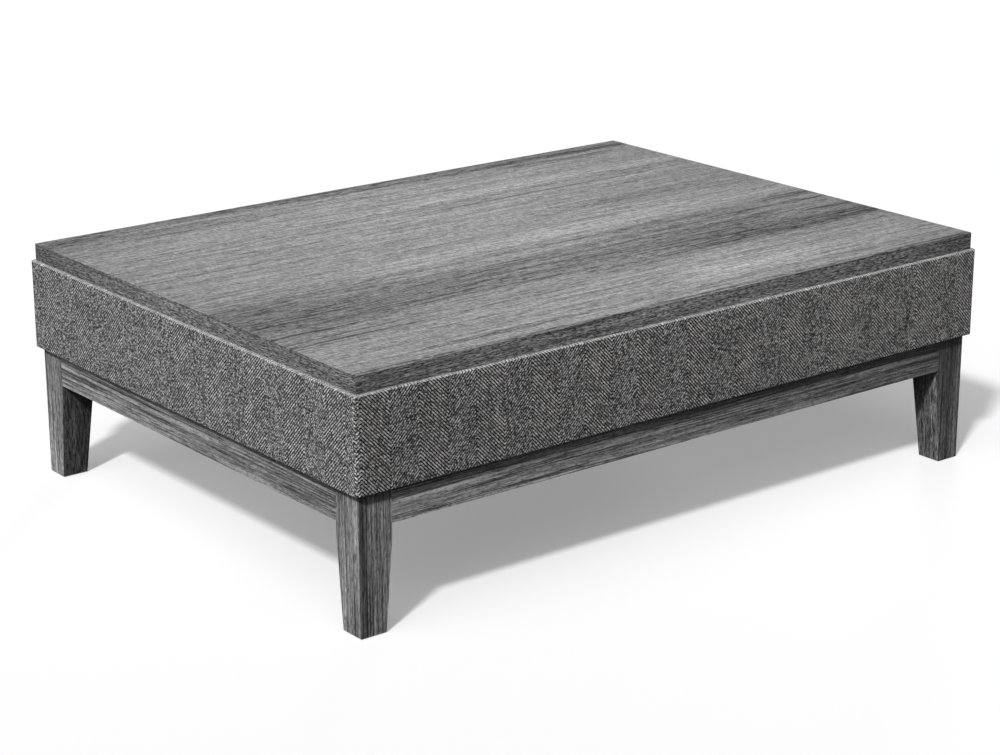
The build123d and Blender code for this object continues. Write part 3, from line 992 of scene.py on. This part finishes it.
def thicken(piece, thickness):
    """Give a sheet its thickness, inward from the drawn surface."""
    solid = piece.modifiers.new("thickness", "SOLIDIFY")
    solid.thickness = thickness
    solid.offset = -1


def evenly(first, last, step):
    """Places from first to last, about one step apart."""
    count = max(1, round(abs(last - first) / step))
    return [first + (last - first) * index / count for index in range(count + 1)]


print("cloth helper ready")

# %% [markdown]
# ## The tweed band
#
# The cloth is one band round the box. It is stretched over thin foam, turned in over the top edge
# and under the bottom edge, and stapled below. The band is drawn as a sheet: one profile, from
# the edge of the upper flap down the face to the edge of the lower flap, carried round a path
# with small round corners. The face starts a little inside its final place, and the simulation
# lets the foam push it out into a slight swell.

# %% Band mesh
cover_low, cover_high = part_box("cloth_cover")
cover_length, cover_width, cover_height = cover_high - cover_low
corner_radius = 7 * mm
edge_radius = 1.6 * mm
flap = 18 * mm
cloth = 1.5 * mm
swell = 0.9 * mm
band_step = 7 * mm
flap_step = 4 * mm
fold_zone = 1 * mm
same_point = 0.01 * mm
corner_steps = 6


def band_profile():
    """(inset, level) pairs from the upper flap's edge to the lower flap's edge."""
    top, bottom = cover_high.z, cover_low.z
    bends = [math.radians(angle) for angle in (0, 22.5, 45, 67.5, 90)]
    upper = [(inset, top) for inset in evenly(flap, edge_radius, flap_step)[:-1]]
    over = [
        (edge_radius * (1 - math.sin(bend)), top - edge_radius * (1 - math.cos(bend)))
        for bend in bends
    ]
    face = [(0.0, level) for level in evenly(top - edge_radius, bottom + edge_radius, band_step)]
    mirrored = [(inset, top + bottom - level) for inset, level in reversed(upper + over)]
    return upper + over + face[1:-1] + mirrored


def band_path():
    """(centre of turning, outward direction, whether in a corner) for each column of the band."""
    path = []
    half_x, half_y = cover_length / 2 - corner_radius, cover_width / 2 - corner_radius
    middles = [Vector((x * half_x, y * half_y, 0)) for x, y in round_the_corners]
    for index, middle in enumerate(middles):
        start = math.radians(180 + 90 * index)
        for step in range(corner_steps + 1):
            angle = start + math.radians(90) * step / corner_steps
            path.append((middle, Vector((math.cos(angle), math.sin(angle), 0)), True))
        following = middles[(index + 1) % 4]
        run = (following - middle).length
        outward = path[-1][1]
        for distance in evenly(0, run, band_step)[1:-1]:
            path.append((middle + (following - middle) * distance / run, outward, False))
    return path


def band_mesh(name):
    """The sheet of cloth as a grid: columns round the band, rows from flap to flap."""
    grid = bmesh.new()
    rows = band_profile()
    columns = []
    for middle, outward, in_corner in band_path():
        column = []
        for inset, level in rows:
            reach = corner_radius - inset
            direction = outward
            if reach < 0 and in_corner:
                direction = Vector((math.copysign(1, middle.x), math.copysign(1, middle.y), 0))
            spot = middle + direction * reach
            column.append(grid.verts.new((spot.x, spot.y, level)))
        columns.append(column)
    for this, following in zip(columns, columns[1:] + columns[:1]):
        for row in range(len(rows) - 1):
            grid.faces.new((this[row + 1], following[row + 1], following[row], this[row]))
    bmesh.ops.remove_doubles(grid, verts=grid.verts, dist=same_point)
    bmesh.ops.recalc_face_normals(grid, faces=grid.faces)
    mesh = bpy.data.meshes.new(name)
    grid.to_mesh(mesh)
    grid.free()
    return mesh


band = add_piece("tweed_band", band_mesh("tweed_band"), tweed)
fastened_points = [
    point.index
    for point in band.data.vertices
    if not cover_low.z + fold_zone < point.co.z < cover_high.z - fold_zone
]
moved = relax(band, fastened_points, push=2, cap=swell)
thicken(band, cloth)
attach(band, "root")
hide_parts("cloth_cover")
print("band:", len(band.data.vertices), "points")
print("pushed out", round(moved / mm, 2), "mm before the cap")

# %% [markdown]
# ## Foam pads
#
# Each side of the box has its own strip of foam, glued to the board. The strips are closed
# shapes: flat at the back where they meet the board, with rounded edges and a slight crown in
# front. They are built as a grid that is wrapped round a soft section.

# %% Foam pads
pad_clearance = 0.3 * mm
pad_edge = 2.6 * mm
pad_step = 12 * mm


def pad_mesh(side):
    """A closed strip of foam with rounded edges, drawn as sections along its run."""
    low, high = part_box(f"foam_pad_{side}")
    run_axis = sides.index(side) % 2
    depth_axis = 1 - run_axis
    outer, inner = high[depth_axis], low[depth_axis]
    if side in ("front", "left"):
        outer, inner = inner, outer
    thick = abs(outer - inner) - pad_clearance
    out = math.copysign(1, outer - inner)
    half_rise = (high.z - low.z) / 2
    section = [(0, -half_rise), (thick - pad_edge, -half_rise)]
    section += [
        (
            thick - pad_edge + pad_edge * math.sin(math.radians(angle)),
            -half_rise + pad_edge - pad_edge * math.cos(math.radians(angle)),
        )
        for angle in (30, 60, 90)
    ]
    face = [(thick, level) for level in evenly(-half_rise + pad_edge, 0, pad_step)[1:]]
    section += face
    section += [(depth, -level) for depth, level in reversed(section[:-1])]
    grid = bmesh.new()
    loops = []
    places = evenly(low[run_axis], high[run_axis], pad_step)
    for number, place in enumerate(places):
        end_share = min(number, len(places) - 1 - number)
        shrink = 0.55 if end_share == 0 else 1.0
        loop = []
        for depth, level in section:
            crown = 1 - 0.25 * (level / half_rise) ** 4 * (depth / thick)
            spot = [0.0, 0.0, 0.0]
            spot[run_axis] = place
            spot[depth_axis] = inner + out * depth * (shrink * crown if depth else 1)
            spot[2] = (low.z + high.z) / 2 + level
            loop.append(grid.verts.new(spot))
        loops.append(loop)
    for this, following in zip(loops, loops[1:]):
        for index in range(len(section)):
            after = (index + 1) % len(section)
            grid.faces.new((this[index], this[after], following[after], following[index]))
    grid.faces.new(loops[0])
    grid.faces.new(list(reversed(loops[-1])))
    bmesh.ops.recalc_face_normals(grid, faces=grid.faces)
    mesh = bpy.data.meshes.new(f"foam_{side}")
    grid.to_mesh(mesh)
    grid.free()
    return mesh


for side in sides:
    pad = add_piece(f"foam_{side}", pad_mesh(side), foam)
    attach(pad, "root")
    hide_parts(f"foam_pad_{side}")
print("foam pads:", len(sides))

# %% [markdown]
# ## Dust cover
#
# The dust cover is cut to the inside of the flap and stapled round its edge. Between the
# bearers nothing carries it, so it hangs a little. Here the simulation works with the cloth's
# own weight instead of a push. Held are the edge, the strip over the cross rail and the
# corners over the corner blocks, where there is no room to hang.

# %% Dust cover mesh
dust_low, dust_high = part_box("dust_cover")
dust_thickness = dust_high.z - dust_low.z
dust_step = 14 * mm
dust_sag = 3.5 * mm
held_rim = 26 * mm
blocks_from_x, blocks_from_y = 440 * mm, 290 * mm
_, cross_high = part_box("cross_rail")


def dust_cover_mesh(name):
    """A flat grid that the simulation lets hang."""
    grid = bmesh.new()
    xs = evenly(dust_low.x, dust_high.x, dust_step)
    ys = evenly(dust_low.y, dust_high.y, dust_step)
    columns = [[grid.verts.new((x, y, dust_high.z)) for y in ys] for x in xs]
    for this, following in zip(columns, columns[1:]):
        for row in range(len(ys) - 1):
            grid.faces.new((this[row], following[row], following[row + 1], this[row + 1]))
    mesh = bpy.data.meshes.new(name)
    grid.to_mesh(mesh)
    grid.free()
    return mesh


dust_cover = add_piece("dust_cover_hung", dust_cover_mesh("dust_cover_hung"), dust_cloth)
carried = [
    point.index
    for point in dust_cover.data.vertices
    if abs(point.co.x) < cross_high.x + dust_step / 2
    or abs(point.co.x) > dust_high.x - held_rim
    or abs(point.co.y) > dust_high.y - held_rim
    or (abs(point.co.x) > blocks_from_x and abs(point.co.y) > blocks_from_y)
]
moved = relax(dust_cover, carried, push=0, cap=dust_sag, weight=1.0)
thicken(dust_cover, dust_thickness)
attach(dust_cover, "root")
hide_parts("dust_cover")
print("dust cover hangs", round(min(moved, dust_sag) / mm, 1), "mm")

# %% [markdown]
# ## Steel and nylon
#
# Screws, bolts, washers, T-nuts and staples are zinc-plated steel: bright, but broken up by the
# crystals of the plating and by tool marks. The glides under the feet are black nylon from a mould
# with a fine sparked texture. Both finishes are small cloud patterns at two scales.

# %% Steel and nylon finishes
def steel_finish(name):
    """Zinc plating: soft crystal patches and fine scratches, mostly in the roughness."""
    finish = Finish(name)
    x, y, z = finish.place()
    crystals = finish.cells(x, y, z, 1.1)
    haze = finish.cloud(x / 4, y / 4, z / 4, 2)
    scratches = finish.cloud(x / 0.25, y / 0.25, z / 3, 2)
    share = crystals * 0.4 + haze * 0.25 + 0.2
    return finish.close(
        Base_Color=two_tones(finish, share, (0.66, 0.67, 0.68), (0.44, 0.44, 0.43)),
        Metallic=1.0,
        Roughness=0.34 + crystals * 0.1 + haze * 0.06,
        Normal=finish.relief(scratches * 0.3 + crystals * 0.4, 0.03),
    )


def nylon_finish(name):
    """Black moulded nylon with a fine texture and a few scuffs."""
    finish = Finish(name)
    x, y, z = finish.place()
    sparks = finish.cloud(x / 0.35, y / 0.35, z / 0.35, 2)
    scuffs = finish.cloud(x / 3, y / 0.8, z / 2, 3, 0.6).rise(0.3, 0.9)
    share = scuffs * 0.6 + sparks * 0.1
    return finish.close(
        Base_Color=two_tones(finish, share, (0.035, 0.035, 0.037), (0.11, 0.11, 0.11)),
        Roughness=0.45 + scuffs * 0.2 + sparks * 0.05,
        Normal=finish.relief(sparks, 0.04),
    )


steel = steel_finish("zinc plated steel")
nylon = nylon_finish("black nylon")
print("steel and nylon ready")

# %% [markdown]
# ## Finding each screw
#
# One node holds all the screws of a kind, so each must be found in it first. Points that are
# joined by edges belong to the same solid, and walking from point to point collects them. The
# longest side of a solid's box is its axis, and the end with the wider points is the head.

# %% Loose parts of a node
same_level = 0.1 * mm


def loose_parts(name):
    """The separate solids of a node, each as a list of its points, in a fixed order."""
    source = bmesh.new()
    source.from_mesh(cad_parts[name].data)
    bmesh.ops.remove_doubles(source, verts=source.verts, dist=same_point)
    source.verts.ensure_lookup_table()
    seen = [False] * len(source.verts)
    parts = []
    for first in source.verts:
        if seen[first.index]:
            continue
        seen[first.index] = True
        border, found = [first], []
        while border:
            point = border.pop()
            found.append(point.co.copy())
            for edge in point.link_edges:
                other = edge.other_vert(point)
                if not seen[other.index]:
                    seen[other.index] = True
                    border.append(other)
        parts.append(found)
    source.free()
    return parts


def box_of(points):
    """Lowest and highest corner of some points."""
    return [
        Vector([pick(point[axis] for point in points) for axis in range(3)])
        for pick in (min, max)
    ]


def along_the_shank(points):
    """Where a screw stands: the middle of its head's outer face, with Z along the shank."""
    low, high = box_of(points)
    size = high - low
    axis = max(range(3), key=lambda side: size[side])
    middle = (low + high) / 2
    others = [side for side in range(3) if side != axis]

    def widest(level):
        return max(
            math.hypot(*(point[side] - middle[side] for side in others))
            for point in points
            if abs(point[axis] - level) < same_level
        )

    head_is_low = widest(low[axis]) > widest(high[axis])
    start = middle.copy()
    start[axis] = low[axis] if head_is_low else high[axis]
    direction = Vector((0, 0, 0))
    direction[axis] = 1 if head_is_low else -1
    turn = direction.to_track_quat("Z", "Y").to_matrix().to_4x4()
    return Matrix.Translation(start) @ turn, size[axis] / mm


def straight_up(points):
    """Where a flat round piece stands: the middle of its lower face."""
    low, high = box_of(points)
    return Matrix.Translation(((low.x + high.x) / 2, (low.y + high.y) / 2, low.z))


print("steel solids found:", len(loose_parts("box_screws")), "box screws, for one")

# %% [markdown]
# ## Turning
#
# A screw is made on a lathe, and so is its mesh: rings of points round an axis, joined into a
# skin. What makes it more than a cylinder is that the radius may change with the angle. A hexagon
# is the distance to its nearest flat, a cross recess is the distance to the wall of its arms, and
# a thread is a ridge whose level climbs with the angle.

# %% Turned shapes
turn_sides = 24
rings_to_a_turn = 5
smooth_below = 35


def turned(grid, place, rings, closed=False):
    """A skin through rings of (level, radius), where a radius may be a function of the angle."""
    loops = []
    for level, radius in rings:
        loop = []
        for index in range(turn_sides):
            angle = 2 * math.pi * index / turn_sides
            reach = radius(angle) if callable(radius) else radius
            spot = Vector((reach * math.cos(angle), reach * math.sin(angle), level)) * mm
            loop.append(grid.verts.new(place @ spot))
        loops.append(loop)
    pairs = list(zip(loops, loops[1:]))
    if closed:
        pairs.append((loops[-1], loops[0]))
    else:
        grid.faces.new(loops[0])
        grid.faces.new(loops[-1])
    for this, following in pairs:
        for index in range(turn_sides):
            after = (index + 1) % turn_sides
            grid.faces.new((this[index], this[after], following[after], following[index]))


def hexagon(flats, largest=math.inf):
    """Radius of a hexagon, its corners cut to a circle."""
    sixth = math.pi / 3

    def radius(angle):
        return min(flats / 2 / math.cos(angle % sixth - sixth / 2), largest)

    return radius


def cross(arm, half_width):
    """Radius of a cross recess."""
    quarter = math.pi / 2

    def radius(angle):
        off = abs((angle + quarter / 2) % quarter - quarter / 2)
        wall = half_width / math.sin(off) if off > 0 else math.inf
        return min(arm, wall)

    return radius


def thread(start, end, pitch, core, crest, taper=0.0):
    """Rings of a screw thread, its last `taper` millimetres running to a point."""
    steps = round((end - start) / pitch * rings_to_a_turn)
    rings = []
    for step in range(steps + 1):
        level = start + (end - start) * step / steps
        slim = min(1.0, 0.12 + 0.88 * (end - level) / taper) if taper else 1.0
        fade_in = min(1.0, (level - start) / pitch)

        def radius(angle, level=level, slim=slim, fade_in=fade_in):
            turns = (level / pitch - angle / (2 * math.pi)) % 1
            ridge = max(0.0, 1 - abs(turns - 0.5) / 0.32)
            return slim * (core + (crest - core) * ridge * fade_in)

        rings.append((level, radius))
    return rings


def finish_piece(name, grid, material, node):
    """Turn a grid into a piece that stands for a node."""
    bmesh.ops.recalc_face_normals(grid, faces=grid.faces)
    mesh = bpy.data.meshes.new(name)
    grid.to_mesh(mesh)
    grid.free()
    piece = add_piece(name, mesh, material)
    mesh.set_sharp_from_angle(angle=math.radians(smooth_below))
    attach(piece, "root")
    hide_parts(node)


print("lathe ready,", turn_sides, "points to a ring")

# %% [markdown]
# ## Wood screws
#
# All the wood screws are countersunk, with a cross recess. The shank is smooth under the head so
# that it draws the two boards together, and the thread bites only in the far one.

# %% Wood screws
head_radius = 4.5
shank_radius = 2.1


def wood_screw(grid, place, long):
    """Recess, head and smooth shank, then a thread that runs to a point."""
    recess = cross(2.4, 0.5)
    foot = cross(1.5, 0.4)
    rings = [
        (1.9, foot),
        (0.05, recess),
        (0.0, 2.7),
        (0.0, head_radius - 0.15),
        (0.15, head_radius),
        (0.45, head_radius),
        (2.8, shank_radius + 0.15),
        (3.4, shank_radius),
        (long * 0.36, shank_radius),
    ]
    turned(grid, place, rings + thread(long * 0.37, long, 2.2, 1.5, 2.25, taper=7.0))


for node in ("box_screws", "block_screws", "top_screws", "cross_rail_screws"):
    grid = bmesh.new()
    screws = loose_parts(node)
    for points in screws:
        place, long = along_the_shank(points)
        wood_screw(grid, place, long)
    finish_piece(f"{node}_turned", grid, steel, node)
    print(node, len(screws), "screws,", round(long), "mm long")

# %% [markdown]
# ## Bolts, washers and T-nuts
#
# Four bolts hold the base to the box. They come up through the corner blocks, a wide washer
# spreads their pull, and each one runs into a T-nut with a threaded barrel and four prongs
# that are pressed into the wood so that it can't turn.

# %% Bolts, washers and T-nuts
bolt_head = 5.3
bolt_flats = 13
bolt_pitch = 1.25
washer_hole = 4.5
nut_flange = 1.5
prong_inside, prong_outside = 8.2, 9.4


def hex_bolt(grid, place, long):
    """A hexagon head with cut corners, a plain shank and a fine thread."""
    full = hexagon(bolt_flats)
    rings = [
        (0.0, 5.6),
        (0.1, hexagon(bolt_flats, 6.3)),
        (0.5, hexagon(bolt_flats, 6.9)),
        (1.0, hexagon(bolt_flats, 7.35)),
        (1.4, full),
        (bolt_head - 0.2, full),
        (bolt_head, hexagon(bolt_flats, 7.1)),
        (bolt_head, 4.2),
        (bolt_head + 0.3, 3.95),
        (long * 0.38, 3.95),
    ]
    rings += thread(long * 0.38, long - 1.0, bolt_pitch, 3.4, 3.98)
    turned(grid, place, rings + [(long - 0.3, 3.5), (long, 3.1)])


def washer(grid, place, outer, thick):
    """A pressed ring with softened edges."""
    edge = 0.25
    rings = [
        (0.0, washer_hole + 0.1),
        (0.0, outer - edge),
        (edge, outer),
        (thick - edge, outer),
        (thick, outer - edge),
        (thick, washer_hole + 0.1),
        (thick - 0.1, washer_hole),
        (0.1, washer_hole),
    ]
    turned(grid, place, rings, closed=True)


def tee_nut(grid, place, outer, tall):
    """A flange on a threaded barrel, with four prongs bent out of the flange."""
    barrel = 5.0
    bore = thread(0.3, tall - 0.3, bolt_pitch, 4.55, 4.12)
    flange = tall - nut_flange
    rings = [
        (0.0, 4.5),
        (0.0, barrel - 0.2),
        (0.2, barrel),
        (flange, barrel),
        (flange, outer - 0.1),
        (flange + 0.2, outer),
        (tall - 0.3, outer),
        (tall, outer - 0.3),
        (tall, 4.9),
    ]
    turned(grid, place, rings + bore[::-1], closed=True)
    root, tip = flange + 0.4, flange - 7
    prong = ((-1.9, root), (1.9, root), (0.25, tip), (-0.25, tip))
    for quarter in range(4):
        prong_turn = place @ Matrix.Rotation(math.pi / 2 * quarter + math.pi / 4, 4, "Z")
        corners_of_prong = [
            (x, y, level) for x in (prong_inside, prong_outside) for y, level in prong
        ]
        inner_and_outer = [
            grid.verts.new(prong_turn @ (Vector(corner) * mm)) for corner in corners_of_prong
        ]
        inner, outer_face = inner_and_outer[:4], inner_and_outer[4:]
        grid.faces.new(inner)
        grid.faces.new(outer_face[::-1])
        for index in range(4):
            after = (index + 1) % 4
            grid.faces.new((inner[index], outer_face[index], outer_face[after], inner[after]))


grid = bmesh.new()
for points in loose_parts("base_bolts"):
    place, long = along_the_shank(points)
    hex_bolt(grid, place, long)
finish_piece("base_bolts_turned", grid, steel, "base_bolts")

for node, shape in (("base_washers", washer), ("tee_nuts", tee_nut)):
    grid = bmesh.new()
    for points in loose_parts(node):
        low, high = box_of(points)
        shape(grid, straight_up(points), (high.x - low.x) / 2 / mm, (high.z - low.z) / mm)
    finish_piece(f"{node}_turned", grid, steel, node)
print("bolts", round(long, 1), "mm long, with washers and T-nuts")

# %% [markdown]
# ## Glides
#
# A round nylon glide keeps each foot just off the floor. Its rim is rounded so that the table
# slides, and a dimple in the middle is where the mould was filled.

# %% Glides
glide_rings = (
    # level, radius
    (0.7, 1.4),
    (0.55, 2.6),
    (0.0, 3.4),
    (0.0, 8.4),
    (0.15, 9.5),
    (0.5, 10.3),
    (1.0, 10.8),
    (1.7, 11.0),
    (3.6, 11.0),
    (4.0, 10.6),
)
grid = bmesh.new()
for points in loose_parts("foot_glides"):
    turned(grid, straight_up(points), glide_rings)
finish_piece("foot_glides_moulded", grid, nylon, "foot_glides")
print("glides of", 2 * max(radius for _, radius in glide_rings), "mm")

# %% [markdown]
# ## Staples
#
# Staples hold the flap of the tweed and the dust cover under the box. A staple is flat wire bent
# twice, so it is drawn as one section carried along a path with two small round bends, and it
# narrows to a chisel point at both tips.

# %% Staples
wire_thick = 0.7
wire_wide = 1.2
bend_radius = 0.75
point_length = 1.4


def staple_path(crown, leg):
    """(place in the staple's plane, direction of the wire) from one tip to the other."""
    half = crown / 2 - wire_thick / 2
    low = wire_thick / 2
    path = [(-half, leg, -90.0), (-half, leg - point_length, -90.0)]
    path.append((-half, low + bend_radius, -90.0))
    for angle in (-67.5, -45.0, -22.5, 0.0):
        across = -half + bend_radius * (1 - math.cos(math.radians(90 + angle)))
        path.append((across, low + bend_radius * (1 - math.sin(math.radians(90 + angle))), angle))
    return path + [(-across, up, -angle) for across, up, angle in reversed(path)]


def staple(grid, place, crown, leg):
    """Bevelled wire carried along the staple's path, narrow at both tips."""
    section = [
        (side * wire_thick / 2 * reach, wide * wire_wide / 2 * narrow)
        for side, wide, reach, narrow in (
            (-1, -1, 1, 0.7), (-1, 1, 1, 0.7), (-1, 1, 0.6, 1), (1, 1, 0.6, 1),
            (1, 1, 1, 0.7), (1, -1, 1, 0.7), (1, -1, 0.6, 1), (-1, -1, 0.6, 1),
        )
    ]
    path = staple_path(crown, leg)
    loops = []
    for number, (across, up, angle) in enumerate(path):
        at_tip = number in (0, len(path) - 1)
        aside = Vector((-math.sin(math.radians(angle)), 0, math.cos(math.radians(angle))))
        loop = []
        for offset, wide in section:
            offset *= 0.25 if at_tip else 1
            spot = Vector((across, wide, up)) + aside * offset
            loop.append(grid.verts.new(place @ (spot * mm)))
        loops.append(loop)
    for this, following in zip(loops, loops[1:]):
        for index in range(len(section)):
            after = (index + 1) % len(section)
            grid.faces.new((this[index], this[after], following[after], following[index]))
    grid.faces.new(loops[0])
    grid.faces.new(loops[-1])


grid = bmesh.new()
staples = loose_parts("staples")
for points in staples:
    low, high = box_of(points)
    size = (high - low) / mm
    place = straight_up(points)
    if size.y > size.x:
        place = place @ Matrix.Rotation(math.pi / 2, 4, "Z")
    staple(grid, place, max(size.x, size.y), size.z)
finish_piece("staples_bent", grid, steel, "staples")
print(len(staples), "staples")
